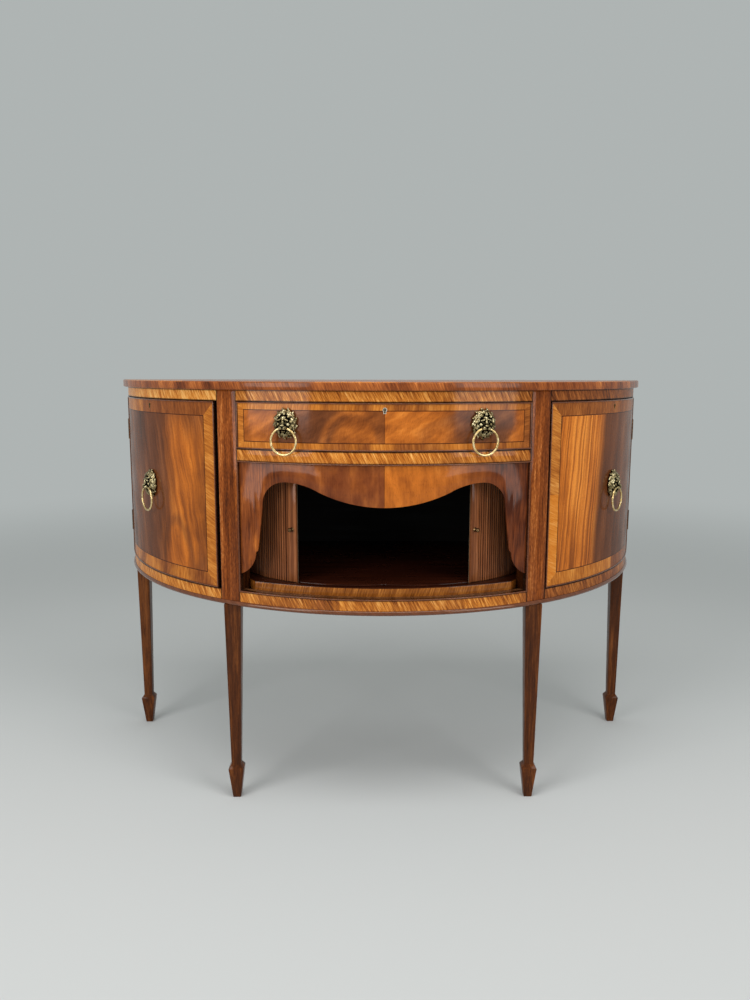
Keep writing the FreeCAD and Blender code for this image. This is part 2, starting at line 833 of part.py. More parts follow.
def save(name, shapes, side="right"):
    placed = [on_side(shape, side) for shape in shapes]
    for shape in placed:
        if not shape.isValid():
            raise ValueError(name + " isn't a valid solid")
    whole = placed[0] if len(placed) == 1 else Part.makeCompound(placed)
    whole.exportStep("parts/" + name + ".step")


def main():
    os.makedirs("parts", exist_ok=True)
    save("top", [make_top()])
    for side in ("left", "right"):
        save("leg_front_" + side, [make_front_leg()], side)
        save("leg_back_" + side, [make_back_leg()], side)
        save("top_rail_" + side,
             [bow(rail_inner_radius, face_radius, outer_angle, back_angle, opening_top, top_under)], side)
        save("bottom_rail_" + side,
             [bow(rail_inner_radius, face_radius, outer_angle, back_angle, carcase_bottom, door_sill)], side)
        save("partition_" + side, [make_partition()], side)
    recess = bead_frame(-inner_angle, inner_angle, recess_bottom - cockbead_thickness, recess_top)
    front_rail = bow(rail_inner_radius, face_radius, -inner_angle, inner_angle, carcase_bottom, recess_bottom)
    divider = bow(rail_inner_radius, face_radius, -inner_angle, inner_angle, recess_top, divider_top)
    save("top_rail_front",
         [bow(rail_inner_radius, face_radius, -inner_angle, inner_angle, opening_top, top_under)])
    save("bottom_rail_front", [solid_of(front_rail.cut(recess))])
    save("drawer_divider", [divider])
    save("bottom_bead", [bow_strip(face_radius, face_radius + bottom_bead_projection, bottom_bead_sag,
                                   -end_angle, end_angle, carcase_bottom, carcase_bottom + bottom_bead_height)])
    save("recess_bead", recess)
    save("apron", [make_apron()])
    save("bottom_board", [make_bottom_board()])
    save("compartment_floor", [make_compartment_floor()])
    save("compartment_ceiling", [make_compartment_ceiling()])
    save("back_panel", [make_back_panel()])
    save("drawer_runners", [make_runner(), mirrored(make_runner())])
    save("drawer_kickers", [make_kicker(), mirrored(make_kicker())])
    save("glue_blocks", make_glue_blocks())
    save_drawer()
    save_door("left", left_door_free_gap)
    save_door("right", right_door_free_gap)
    for side in ("left", "right"):
        save_tambour(side)


main()
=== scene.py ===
import bpy
import json
import math
from mathutils import Matrix, Vector

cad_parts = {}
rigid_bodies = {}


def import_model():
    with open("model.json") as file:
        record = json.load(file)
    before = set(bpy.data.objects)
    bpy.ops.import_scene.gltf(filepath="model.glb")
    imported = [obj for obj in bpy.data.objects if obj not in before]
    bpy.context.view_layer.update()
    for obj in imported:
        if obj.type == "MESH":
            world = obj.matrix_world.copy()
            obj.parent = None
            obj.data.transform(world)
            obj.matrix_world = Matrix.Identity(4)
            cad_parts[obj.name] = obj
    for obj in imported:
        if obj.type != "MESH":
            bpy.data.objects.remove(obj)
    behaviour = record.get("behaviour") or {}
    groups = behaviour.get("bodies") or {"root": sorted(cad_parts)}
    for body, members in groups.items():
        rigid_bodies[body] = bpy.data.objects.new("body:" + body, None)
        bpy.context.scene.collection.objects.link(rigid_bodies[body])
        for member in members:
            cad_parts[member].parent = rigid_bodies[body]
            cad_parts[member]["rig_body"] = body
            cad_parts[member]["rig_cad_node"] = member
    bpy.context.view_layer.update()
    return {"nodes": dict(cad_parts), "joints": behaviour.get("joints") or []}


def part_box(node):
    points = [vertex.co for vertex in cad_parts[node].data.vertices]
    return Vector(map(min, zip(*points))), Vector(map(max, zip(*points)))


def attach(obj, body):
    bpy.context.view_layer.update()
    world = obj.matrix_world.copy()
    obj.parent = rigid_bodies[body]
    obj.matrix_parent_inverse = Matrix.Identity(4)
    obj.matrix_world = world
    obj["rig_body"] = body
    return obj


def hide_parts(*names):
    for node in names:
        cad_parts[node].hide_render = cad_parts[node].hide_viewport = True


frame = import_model()
scene = bpy.context.scene
nodes = frame["nodes"]
print("frame loaded:", len(nodes), "nodes")

# the front is bowed round an upright line behind the back
bow = {"axisY": 0.412, "faceRadius": 0.665, "topRadius": 0.676, "backY": 0.264}


# colours are written as they look on screen, 0 to 255
def tint(red, green, blue):
    shares = [part / 255 for part in (red, green, blue)]
    linear = [s / 12.92 if s <= 0.04045 else ((s + 0.055) / 1.055) ** 2.4 for s in shares]
    return (*linear, 1.0)


# a shader socket that can be used in sums
class Wire:
    def __init__(self, tree, socket=None):
        self.tree = tree
        self.socket = socket

    def make(self, kind, settings, values, pick=0):
        node = self.tree.nodes.new(kind)
        for name, value in settings.items():
            if name == "stops":
                self.fillRamp(node.color_ramp.elements, value)
            else:
                setattr(node, name, value)
        for name, value in values.items():
            if isinstance(value, Wire):
                self.tree.links.new(value.socket, node.inputs[name])
            else:
                node.inputs[name].default_value = value
        return Wire(self.tree, node.outputs[pick]) if len(node.outputs) else None

    def fillRamp(self, elements, stops):
        elements[0].position, elements[0].color = stops[0]
        elements[1].position, elements[1].color = stops[-1]
        for spot, shade in stops[1:-1]:
            elements.new(spot).color = shade

    def math(self, operation, first, second=0.0):
        return self.make("ShaderNodeMath", {"operation": operation}, {0: first, 1: second})

    def __add__(self, other):
        return self.math("ADD", self, other)

    def __radd__(self, other):
        return self.math("ADD", other, self)

    def __sub__(self, other):
        return self.math("SUBTRACT", self, other)

    def __rsub__(self, other):
        return self.math("SUBTRACT", other, self)

    def __mul__(self, other):
        return self.math("MULTIPLY", self, other)

    def __rmul__(self, other):
        return self.math("MULTIPLY", other, self)


def least(first, second):
    return first.math("MINIMUM", first, second)


def size(value):
    return value.math("ABSOLUTE", value)


def fade(value, low, high):
    limits = {"Value": value, "From Min": low, "From Max": high}
    return value.make("ShaderNodeMapRange", {"interpolation_type": "SMOOTHSTEP"}, limits, "Result")


def blendColour(first, second, share):
    return share.make("ShaderNodeMix", {"data_type": "RGBA"}, {0: share, 6: first, 7: second}, 2)


def ramp(value, stops):
    return value.make("ShaderNodeValToRGB", {"stops": stops}, {"Fac": value}, "Color")


# noise drawn out along v: wide and long are the size of one mark in metres
def figure(start, u, v, seed, wide, long, detail=3.0, rough=0.55):
    spot = start.make("ShaderNodeCombineXYZ", {}, {"X": u * (1 / wide), "Y": v * (1 / long), "Z": seed})
    values = {"Vector": spot, "Scale": 1.0, "Detail": detail, "Roughness": rough}
    return start.make("ShaderNodeTexNoise", {}, values)


# noise through solid wood that stands upright
def solidFigure(start, place, seed, wide, long, detail=3.0):
    x, y, z = place
    scaled = {"X": x * (1 / wide) + seed, "Y": y * (1 / wide), "Z": z * (1 / long)}
    spot = start.make("ShaderNodeCombineXYZ", {}, scaled)
    return start.make("ShaderNodeTexNoise", {}, {"Vector": spot, "Scale": 1.0, "Detail": detail, "Roughness": 0.55})


# a board's grain from broad and fine marks: each has its seed, width, length and force
def boardGrain(start, across, along, broad, fine):
    tone = 0.5
    for seed, wide, long, force in (broad, fine):
        tone = tone + (figure(start, across, along, seed, wide, long) - 0.5) * force
    return tone


def startFinish(name):
    finish = bpy.data.materials.new(name)
    finish.use_nodes = True
    finish.node_tree.nodes.clear()
    return finish, Wire(finish.node_tree)


def closeFinish(start, colour, rough, height, look):
    relief = {"Strength": look["bump"], "Distance": look["relief"], "Height": height}
    bump = start.make("ShaderNodeBump", {}, relief, "Normal")
    values = {"Base Color": colour, "Roughness": rough, "Metallic": look.get("metal", 0.0),
              "Specular IOR Level": look.get("gloss", 0.5), "Specular Tint": look.get("tint", tint(255, 255, 255)),
              "Coat Weight": look.get("coat", 0.0), "Coat Roughness": look.get("coatRough", 0.1), "Normal": bump}
    shader = start.make("ShaderNodeBsdfPrincipled", {}, values, "BSDF")
    start.make("ShaderNodeOutputMaterial", {}, {"Surface": shader})


def places(start):
    spot = start.make("ShaderNodeTexCoord", {}, {}, "Object")
    return [start.make("ShaderNodeSeparateXYZ", {}, {"Vector": spot}, axis) for axis in "XYZ"]


# 1 on open surfaces and less in hollows: patina on the brass, dirt and painted shade in the tambours' grooves
def openness(start, reach):
    return start.make("ShaderNodeAmbientOcclusion", {"samples": 8}, {"Distance": reach}, "AO")


# length along the bow, and distance from its upright line
def bowPlaces(start, x, y):
    back = bow["axisY"] - y
    arc = start.math("ARCTAN2", x, back) * bow["faceRadius"]
    radius = start.math("SQRT", x * x + back * back)
    return arc, radius


# one even polish for the whole front, glossier on the top and the beads
frenchPolish = {"bump": 0.05, "relief": 0.0002, "gloss": 0.03, "coat": 0.3, "coatRough": 0.1,
                "tint": tint(255, 205, 150)}
topPolish = {**frenchPolish, "gloss": 0.12}
beadPolish = {**frenchPolish, "gloss": 0.3, "coat": 0.6, "coatRough": 0.08}
plainWood = {"bump": 0.3, "relief": 0.0004, "gloss": 0.2}


# short dark pores along the grain
def pores(start, u, v, seed):
    return fade(figure(start, u, v, seed, 0.0014, 0.007, 1.0), 0.58, 0.72)


mahogany = {
    "gold": [(0.0, tint(112, 52, 12)), (0.3, tint(160, 88, 26)), (0.55, tint(196, 118, 42)),
             (0.8, tint(222, 148, 66)), (1.0, tint(242, 182, 104))],
    "brown": [(0.0, tint(66, 30, 11)), (0.4, tint(119, 62, 25)), (0.7, tint(152, 85, 36)), (1.0, tint(186, 112, 54))],
    "purple": [(0.0, tint(54, 25, 11)), (0.5, tint(106, 58, 30)), (1.0, tint(156, 94, 52))],
    "flame": [(0.0, tint(106, 51, 16)), (0.35, tint(156, 82, 27)),
              (0.65, tint(194, 107, 35)), (1.0, tint(230, 140, 55))],
    "red": [(0.0, tint(66, 28, 14)), (0.5, tint(114, 56, 26)), (1.0, tint(156, 86, 42))],
    "string": tint(58, 24, 10),
    # near black: dirt with painted shade in seams, gaps and grooves, and dark joints
    "darkFill": tint(12, 7, 5),
    "inner": [(0.0, tint(64, 36, 20)), (0.5, tint(94, 58, 34)), (1.0, tint(122, 80, 48))],
}


# crossbanding: short grain lying across the band, in slanted stripes
def bandTone(start, along, across, seed, slant, force=0.75, wide=0.0035):
    lean = along + across * slant
    broad = figure(start, lean, across, seed, 0.036, 0.15) - 0.5
    stripe = figure(start, lean, across, seed + 4, wide, 0.05) - 0.5
    fine = figure(start, lean, across, seed + 9, 0.0014, 0.02) - 0.5
    return 0.5 + broad * 0.9 + stripe * (1.5 * force) + fine * (1.6 * force)


# widths of soft edges: where veneer ends, a banding meets the field, a banding is mitred, two halves meet
joinLook = {"veneer": (0.0012, 0.0022), "band": 0.0002, "mitre": 0.0003, "halves": 0.0004}


# the wood under the veneer, at the back and the edges of a bowed piece
def underVeneer(radius):
    thin, thick = joinLook["veneer"]
    return fade(radius, bow["faceRadius"] - thin, bow["faceRadius"] - thick)


def inBand(edge, width):
    return fade(edge, width + joinLook["band"], width - joinLook["band"])


def pastMitre(difference):
    return fade(difference, -joinLook["mitre"], joinLook["mitre"])


def rightHalf(arc):
    return fade(arc, -joinLook["halves"], joinLook["halves"])


pieceShift = 0.37  # moves the joints along, by the seed


# a slight change of colour from one piece of banding to the next
def pieceTone(start, along, length, seed):
    cell = start.math("FLOOR", along * (1 / length) + seed * pieceShift)
    return start.make("ShaderNodeTexWhiteNoise", {"noise_dimensions": "1D"}, {"W": cell + seed}, "Value")


def wearRough(start, u, v, low, high):
    smear = figure(start, u, v, 31.0, 0.05, 0.05, 4.0)
    return fade(smear, 0.3, 0.7) * (high - low) + low


railLook = {
    "slant": 0.5, "piece": 0.13,
    # share of golden wood in the middle, more to the left, less to the right, and how pale the left end is; the paler,
    # more golden left end and the browner right end are partly painted light and shade
    "top": {"gold": 0.6, "left": 0.3, "right": 0.5, "pale": 0.22, "dull": 0.35, "seed": 5.0},
    "foot": {"gold": 0.36, "left": 0.2, "right": 0.35, "pale": 0.05, "dull": 0.0, "seed": 10.0},
    # heights and places along the bow where the wood is darkened beside joints and beads, and its half width: dirt
    # with painted shade in the gaps, and painted shadow under the top at the first height
    "seams": [0.8965, 0.874, 0.776, 0.7515, 0.4735], "sides": [0.3158, 0.3651], "darkening": 0.003,
    "ends": (0.30, 0.34),  # where the rail of the middle bay gives way to those of the doors
}


# dirt and painted shade along the upright edges of the openings
def sideDirtAndShade(arc, wide):
    unmarked = 1.0
    for side in railLook["sides"]:
        unmarked = fade(size(size(arc) - side), 0.0004, wide * 0.8) * unmarked
    return 1 - unmarked


# dirt and painted shade along all edges of the openings, and painted shadow along the top rail's upper edge under the
# top
def seamDirtAndShade(arc, z, wide):
    unmarked = 1 - sideDirtAndShade(arc, wide)
    for height in railLook["seams"]:
        unmarked = fade(size(z - height), 0.0005, wide) * unmarked
    return 1 - unmarked


def railFinish(level):
    finish, start = startFinish(level + "RailMahogany")
    look = railLook[level]
    seed = look["seed"]
    x, y, z = places(start)
    arc, radius = bowPlaces(start, x, y)
    inner, outer = railLook["ends"]
    left = fade(arc, -inner, -outer)
    right = fade(arc, inner, outer)
    tone = bandTone(start, arc, z, seed, railLook["slant"], 1.1, 0.005) + left * look["pale"]
    shift = pieceTone(start, arc, railLook["piece"], seed)
    cloud = figure(start, arc, z, seed + 15, 0.06, 0.3) - 0.5
    # more golden to the left and browner to the right: partly veneer, partly painted light and shade
    golden = shift * 0.45 + look["gold"] + left * look["left"] - right * look["right"]
    golden = golden - fade(arc, -0.05, 0.28) * look["dull"] + cloud * 1.2
    colour = blendColour(ramp(tone, mahogany["brown"]), ramp(tone, mahogany["gold"]), fade(golden, 0.15, 0.9))
    colour = blendColour(colour, ramp(tone, mahogany["inner"]), underVeneer(radius))
    # dirt and painted shade darken the seams near black
    colour = blendColour(colour, mahogany["darkFill"], seamDirtAndShade(arc, z, railLook["darkening"]) * 0.85)
    closeFinish(start, colour, wearRough(start, arc, z, 0.24, 0.38), tone, frenchPolish)
    return finish


legLook = {
    "stile": [(0.0, tint(54, 21, 5)), (0.45, tint(112, 53, 16)),
              (0.75, tint(152, 80, 30)), (1.0, tint(200, 124, 62))],
    "leg": [(0.0, tint(34, 14, 5)), (0.5, tint(79, 39, 14)), (1.0, tint(128, 72, 31))],
    "split": 0.445, "soft": 0.004,  # height where the stile turns into the leg, and how softly
    "darkening": 0.0032,
}


def legFinish():
    finish, start = startFinish("legMahogany")
    place = places(start)
    x, y, z = place
    broad = solidFigure(start, place, 1.0, 0.016, 0.3) - 0.5
    grain = solidFigure(start, place, 5.0, 0.0032, 0.05) - 0.5
    fleck = solidFigure(start, place, 9.0, 0.0016, 0.008) - 0.5
    upper = fade(z, legLook["split"] - legLook["soft"], legLook["split"] + legLook["soft"])
    tone = 0.52 + broad * 1.4 + grain * 1.0 + fleck * (0.5 + upper * 0.5)
    arc, radius = bowPlaces(start, x, y)
    # dirt and painted shade beside the openings
    darkening = sideDirtAndShade(arc, legLook["darkening"]) * 0.8
    stile = blendColour(ramp(tone, legLook["stile"]), mahogany["darkFill"], darkening)
    colour = blendColour(ramp(tone, legLook["leg"]), stile, upper)
    closeFinish(start, colour, wearRough(start, x + y, z, 0.24, 0.4), grain, frenchPolish)
    return finish


beadLook = {"tones": [(0.0, tint(30, 13, 7)), (0.5, tint(58, 27, 14)), (1.0, tint(96, 50, 28))],
            "nose": [(0.0, tint(78, 38, 21)), (1.0, tint(146, 84, 52))], "deep": tint(26, 14, 9),
            # distances from the bow's upright line: start and end of the nose, and of the part let into the wood
            "noseAt": (0.6657, 0.6667), "deepAt": (0.6622, 0.6640)}


def beadFinish():
    finish, start = startFinish("beadMahogany")
    x, y, z = places(start)
    arc, radius = bowPlaces(start, x, y)
    grain = figure(start, arc + z, z, 8.0, 0.002, 0.02) - 0.5
    tone = figure(start, arc + z, z, 3.0, 0.014, 0.05) + grain * 0.8
    nose = fade(radius, *beadLook["noseAt"])  # a little paler on the roundest part
    # the paler nose is partly wear, partly a painted highlight
    colour = blendColour(ramp(tone, beadLook["tones"]), ramp(tone, beadLook["nose"]), nose * 0.6)
    # the part let into the wood, seen in the gaps beside the bead, is painted dark: painted shade
    colour = blendColour(beadLook["deep"], colour, fade(radius, *beadLook["deepAt"]))
    closeFinish(start, colour, wearRough(start, arc, z, 0.18, 0.32), tone, beadPolish)
    return finish


def lineMask(distance, width):
    return 1 - fade(size(distance), width * 0.35, width * 0.75)


doorLook = {"band": 0.0305, "string": 0.0016, "orange": tint(204, 112, 20), "thick": 0.02,
            "darkening": (0.0026, 0.0008), "face": (0.6612, 0.6632), "join": (0.506, 0.504)}


def doorFinish(side):
    finish, start = startFinish("doorVeneer" + side)
    turn = -1 if side == "left" else 1
    low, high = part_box("door_" + side)
    near, far = sorted((abs(low.x), abs(high.x)))
    free = math.asin(near / (bow["faceRadius"] - doorLook["thick"])) * bow["faceRadius"]
    hinge = math.asin(far / bow["faceRadius"]) * bow["faceRadius"]
    x, y, z = places(start)
    arc, radius = bowPlaces(start, x, y)
    across = arc * turn
    fromFree = across - free
    nearSide = least(fromFree, hinge - across)
    fromFoot = z - low.z
    nearEnd = least(high.z - z, fromFoot)
    edge = least(nearSide, nearEnd)
    upright = pastMitre(nearEnd - nearSide)
    flat = 1 - upright
    endTone = bandTone(start, across, nearEnd, 11.0 + turn, 0.15, 0.6)
    sideTone = bandTone(start, z, nearSide, 21.0 + turn, 0.42 * turn, 0.6)
    tone = endTone * flat + sideTone * upright
    rise = fromFoot * (1 / (high.z - low.z))
    wander = figure(start, across, z, 41.0 + turn, 0.10, 0.17) - 0.5
    freeSide = fade(fromFree, 0.12, 0.02) * upright
    lowEnd = fade(rise, 0.2, 0.06) * flat
    if side == "left":
        # flame rising from the foot of the door, leaning away from its free edge
        corner = fade(fromFree, 0.275, 0.285) * fade(rise, 0.5, 0.9) * flat
        gold = freeSide * 0.8 + corner * 0.75 + lowEnd * fade(wander, -0.12, 0.12)
        lean = across - rise * 0.07 + wander * 0.05
        wisp = figure(start, lean, z, 7.0, 0.026, 0.24, 2.0)
        hair = figure(start, lean, z, 9.0, 0.0055, 0.14)
        middle = size(fromFree - 0.112 + rise * 0.03 + wander * 0.12)
        plume = fade(middle, 0.10, 0.015) * fade(rise + wander * 0.5, 1.1, 0.7) * (fade(wisp, 0.3, 0.62) * 0.4 + 0.6)
        plume = plume * fade(fromFree + rise * 0.3 + wander * 0.1, 0.03, 0.11)
        brow = fade(fromFree + wander * 0.1, 0.2, 0.06) * fade(wisp, 0.3, 0.7) * 0.45
        domeSide = (fromFree - 0.128) * (1 / 0.045)
        domeRise = rise * (1 / 0.27)
        swell = domeSide * domeSide + domeRise * domeRise + wander * 2.0 + (wisp - 0.5) * 1.2
        dome = fade(swell, 1.4, 0.4)
        darkRing = fade(size(swell - 1.7), 0.7, 0.05)
        flame = start.math("MAXIMUM", start.math("MAXIMUM", plume, brow) * (1 - darkRing * 0.55), dome * 0.9)
        darkTone = 0.44 + (figure(start, lean, z, 13.0, 0.05, 0.25) - 0.5) * 1.6 + (hair - 0.5) * 0.7
    else:
        # straight stripes beside the free edge, darker beside the hinges
        lower = fade(rise, *doorLook["join"]) * upright  # the lower half of the side bands is another piece
        tone = tone + freeSide * 0.1 + lower * 0.12
        gold = freeSide * 0.7 + lower * 0.3 + fade(rise, 0.5, 0.9) * flat * 0.15
        gold = gold + lowEnd * fade(fromFree, 0.265, 0.26) * 0.9
        lean = across - rise * 0.035 + wander * 0.02
        wisp = figure(start, lean, z, 7.0, 0.0085, 0.7, 2.0)
        hair = figure(start, lean, z, 9.0, 0.0030, 0.25)
        split = fromFree + wander * 0.05 - rise * 0.035
        paleStripe = fade(size(split - 0.075), 0.05, 0.006) * fade(rise, 0.25, 0.65)
        flame = fade(split + (wisp - 0.5) * 0.03, 0.182, 0.138) * (fade(wisp, 0.3, 0.56) * 0.5 + 0.5)
        darkTone = 0.42 + (figure(start, lean, z, 13.0, 0.05, 0.3) - 0.5) * 1.4 + (hair - 0.5) * 0.9
        cloud = figure(start, across, z, 19.0, 0.05, 0.16) - 0.5
        wisp = 0.56 + (wisp - 0.5) * 1.4 + paleStripe * 0.26 - fade(fromFree, 0.08, 0.04) * 0.06 + cloud * 0.5
    flameTone = 0.53 + (wisp - 0.5) * 1.3 + (hair - 0.5) * 0.8 + wander * 0.9
    field = blendColour(ramp(darkTone, mahogany["purple"]), ramp(flameTone, mahogany["flame"]), flame)
    field = blendColour(field, mahogany["string"], pores(start, lean, z, 17.0) * 0.3)
    band = blendColour(ramp(tone, mahogany["brown"]), ramp(tone, mahogany["gold"]), gold)
    if side == "right":
        band = blendColour(band, doorLook["orange"], lower * freeSide * 0.5)
    width = doorLook["band"]
    colour = blendColour(field, band, inBand(edge, width))
    colour = blendColour(colour, mahogany["string"], lineMask(edge - width, doorLook["string"]))
    colour = blendColour(colour, ramp(hair, mahogany["inner"]), underVeneer(radius))
    front = fade(radius, *doorLook["face"])
    # the edges are darkened near black on the front: dirt with painted shade in the gaps beside the beads
    colour = blendColour(colour, mahogany["darkFill"], fade(edge, *doorLook["darkening"]) * front)
    closeFinish(start, colour, wearRough(start, across, z, 0.2, 0.34), hair, frenchPolish)
    return finish


drawerLook = {"band": 0.0155, "string": 0.0015, "seam": 0.0011, "height": 0.0954, "darkening": (0.0024, 0.0006)}


def drawerFinish():
    finish, start = startFinish("drawerVeneer")
    low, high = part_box("drawer_front")
    end = math.asin(high.x / bow["faceRadius"]) * bow["faceRadius"]
    x, y, z = places(start)
    arc, radius = bowPlaces(start, x, y)
    nearSide = end - size(arc)
    nearEnd = least(high.z - z, z - low.z)
    edge = least(nearSide, nearEnd)
    upright = pastMitre(nearEnd - nearSide)
    endTone = bandTone(start, arc, nearEnd, 51.0, 0.12, 0.45)
    sideTone = bandTone(start, z, nearSide, 55.0, 0.2, 0.45)
    tone = endTone * (1 - upright) + sideTone * upright
    wander = figure(start, arc, z, 61.0, 0.07, 0.05) - 0.5
    rise = (z - low.z) * (1 / drawerLook["height"])
    lean = arc - rise * 0.025 + wander * 0.03
    hair = figure(start, lean, z, 65.0, 0.003, 0.05) - 0.5
    slanted = arc * 0.85 + z * 0.5 + wander * 0.03
    wisp = figure(start, z * 0.85 - arc * 0.5, slanted, 67.0, 0.016, 0.06) - 0.5
    # left half: orange at the end, darker round the mask, a pale streak over a dome beside the seam
    domeSide = (arc + 0.062) * (1 / 0.052)
    domeRise = rise * (1 / 0.7)
    swell = domeSide * domeSide + domeRise * domeRise + wander * 0.7
    dome = fade(swell, 1.15, 0.7)
    streak = fade(size(swell - 1.6 + rise * 0.3 + wisp * 0.8), 0.6, 0.05) * fade(arc, 0.0, -0.06)
    sweep = fade(arc - rise * 0.03 + wander * 0.05, -0.222, -0.242)
    leftWarm = dome * 0.42 + streak * 0.32 + sweep * 0.8 + fade(arc + wander * 0.08, -0.12, -0.04) * 0.3
    # right half: golden beside the seam, a curl and paler patches, darker round the mask
    curl = fade(size(rise - 0.25 - (arc - 0.07) * 6.0 - wander * 0.8), 0.22, 0.02) * fade(arc, 0.05, 0.08)
    outerEnd = fade(arc - rise * 0.02 + wander * 0.05, 0.25, 0.268)
    rightWarm = fade(arc + wander * 0.06, 0.165, 0.105) * 0.9 - curl * 0.3 + outerEnd * 0.8
    right = rightHalf(arc)
    warm = leftWarm * (1 - right) + rightWarm * right
    paler = streak * (1 - right) + right * fade(arc, 0.16, 0.0)
    shade = 0.46 + wander + wisp * 1.1 + hair * 0.35 + paler * 0.14
    field = blendColour(ramp(shade, mahogany["purple"]), ramp(shade, mahogany["flame"]), warm)
    field = blendColour(field, mahogany["string"], pores(start, lean, z, 69.0) * 0.25)
    field = blendColour(field, mahogany["string"], lineMask(arc, drawerLook["seam"]) * 0.6)
    gold = fade(figure(start, arc, z, 71.0, 0.05, 0.5), 0.3, 0.55) * 0.9
    band = blendColour(ramp(tone, mahogany["brown"]), ramp(tone, mahogany["gold"]), gold)
    width = drawerLook["band"]
    colour = blendColour(field, band, inBand(edge, width))
    colour = blendColour(colour, mahogany["string"], lineMask(edge - width, drawerLook["string"]))
    colour = blendColour(colour, ramp(tone, mahogany["inner"]), underVeneer(radius))
    # the edges are darkened near black: dirt with painted shade in the gaps beside the bead
    colour = blendColour(colour, mahogany["darkFill"], fade(edge, *drawerLook["darkening"]) * 0.85)
    closeFinish(start, colour, wearRough(start, arc, z, 0.2, 0.34), hair, frenchPolish)
    return finish


apronLook = {"seam": 0.001, "ends": (0.19, 0.24)}


def apronFinish():
    finish, start = startFinish("apronVeneer")
    x, y, z = places(start)
    arc, radius = bowPlaces(start, x, y)
    wander = figure(start, arc, z, 81.0, 0.07, 0.12) - 0.5
    wisp = figure(start, arc + wander * 0.04, z, 83.0, 0.03, 0.07) - 0.5
    lean = arc + wander * 0.02
    hair = figure(start, lean, z, 85.0, 0.004, 0.07) - 0.5
    left = fade(arc + wander * 0.05, -0.21, -0.25) * 0.15
    right = rightHalf(arc)
    middle = right * fade(arc + wander * 0.10, 0.26, 0.06) + (1 - right) * fade(wander, -0.05, 0.2) * 0.5
    ends = fade(size(arc), *apronLook["ends"])
    shade = 0.56 + wisp * 1.1 + hair * (0.4 + ends * 1.1) + wander * 0.9 - ends * 0.1
    shade = shade - fade(arc, 0.21, 0.27) * 0.25
    colour = blendColour(ramp(shade, mahogany["red"]), ramp(shade, mahogany["flame"]), left + middle)
    colour = blendColour(colour, mahogany["string"], pores(start, lean, z, 87.0) * 0.3)
    colour = blendColour(colour, mahogany["string"], lineMask(arc, apronLook["seam"]) * 0.6)
    closeFinish(start, colour, wearRough(start, arc, z, 0.22, 0.36), hair, frenchPolish)
    return finish


topLook = {
    "band": 0.046, "string": 0.0018, "piece": 0.16,
    "edge": [(0.0, tint(62, 27, 13)), (0.4, tint(122, 61, 29)), (0.7, tint(164, 90, 41)), (1.0, tint(208, 128, 66))],
    "edgeBelow": (0.0008, 0.0018),  # depth below the upper face at which the wood of the edge shows
}


def topFinish():
    finish, start = startFinish("topVeneer")
    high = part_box("top")[1]
    x, y, z = places(start)
    arc, radius = bowPlaces(start, x, y)
    fromBack = bow["backY"] - y
    fromFront = bow["topRadius"] - radius
    rim = least(fromFront, fromBack)
    back = pastMitre(fromFront - fromBack)
    along = x * back + arc * (1 - back)
    tone = bandTone(start, along, rim, 91.0, 0.12)
    wander = figure(start, x, y, 93.0, 0.16, 0.14) - 0.5
    lean = y + wander * 0.05 + size(x) * 0.16
    streak = boardGrain(start, lean, x, (95.0, 0.02, 0.3, 1.1), (97.0, 0.004, 0.1, 0.8))
    warm = fade(figure(start, x, y, 99.0, 0.22, 0.12), 0.38, 0.64)
    field = blendColour(ramp(streak, mahogany["red"]), ramp(streak, mahogany["flame"]), warm * 0.75)
    gold = fade(pieceTone(start, along, topLook["piece"], 5.0), 0.3, 1.1)
    band = blendColour(ramp(tone, mahogany["brown"]), ramp(tone, mahogany["gold"]), gold)
    width = topLook["band"]
    colour = blendColour(field, band, inBand(rim, width))
    colour = blendColour(colour, mahogany["string"], lineMask(rim - width, topLook["string"]))
    cloud = figure(start, arc, z, 97.0, 0.05, 0.6) - 0.5
    edgeTone = bandTone(start, arc, z, 95.0, 0.4, 0.7, 0.004) + cloud * 1.3
    onEdge = fade(high.z - z, *topLook["edgeBelow"])
    colour = blendColour(colour, ramp(edgeTone, topLook["edge"]), onEdge)
    closeFinish(start, colour, wearRough(start, x, y, 0.18, 0.32), streak, topPolish)
    return finish


tambourLook = {"tones": [(0.0, tint(64, 31, 15)), (0.5, tint(120, 68, 38)), (1.0, tint(176, 112, 70))],
               "reach": 0.003, "darkening": (0.45, 0.85)}


def tambourFinish():
    finish, start = startFinish("tambourMahogany")
    place = places(start)
    x, y, z = place
    grain = solidFigure(start, place, 2.0, 0.0016, 0.05)
    slat = solidFigure(start, place, 6.0, 0.006, 1.4, 1.0)
    tone = 0.5 + (grain - 0.5) * 0.9 + (slat - 0.5) * 1.1
    # the grooves between the slats are darkened by occlusion: dirt with painted shade
    unmarked = fade(openness(start, tambourLook["reach"]), *tambourLook["darkening"])
    colour = blendColour(mahogany["darkFill"], ramp(tone, tambourLook["tones"]), unmarked)
    closeFinish(start, colour, wearRough(start, x, z, 0.26, 0.4), grain, frenchPolish)
    return finish


ledgeLook = {"front": [(0.0, tint(70, 34, 10)), (0.5, tint(132, 74, 25)), (1.0, tint(190, 122, 54))],
             "floor": [(0.0, tint(20, 7, 4)), (0.5, tint(46, 18, 9)), (1.0, tint(76, 36, 18))],
             "lip": (0.62, 0.63), "frontBelow": (0.0006, 0.0016)}


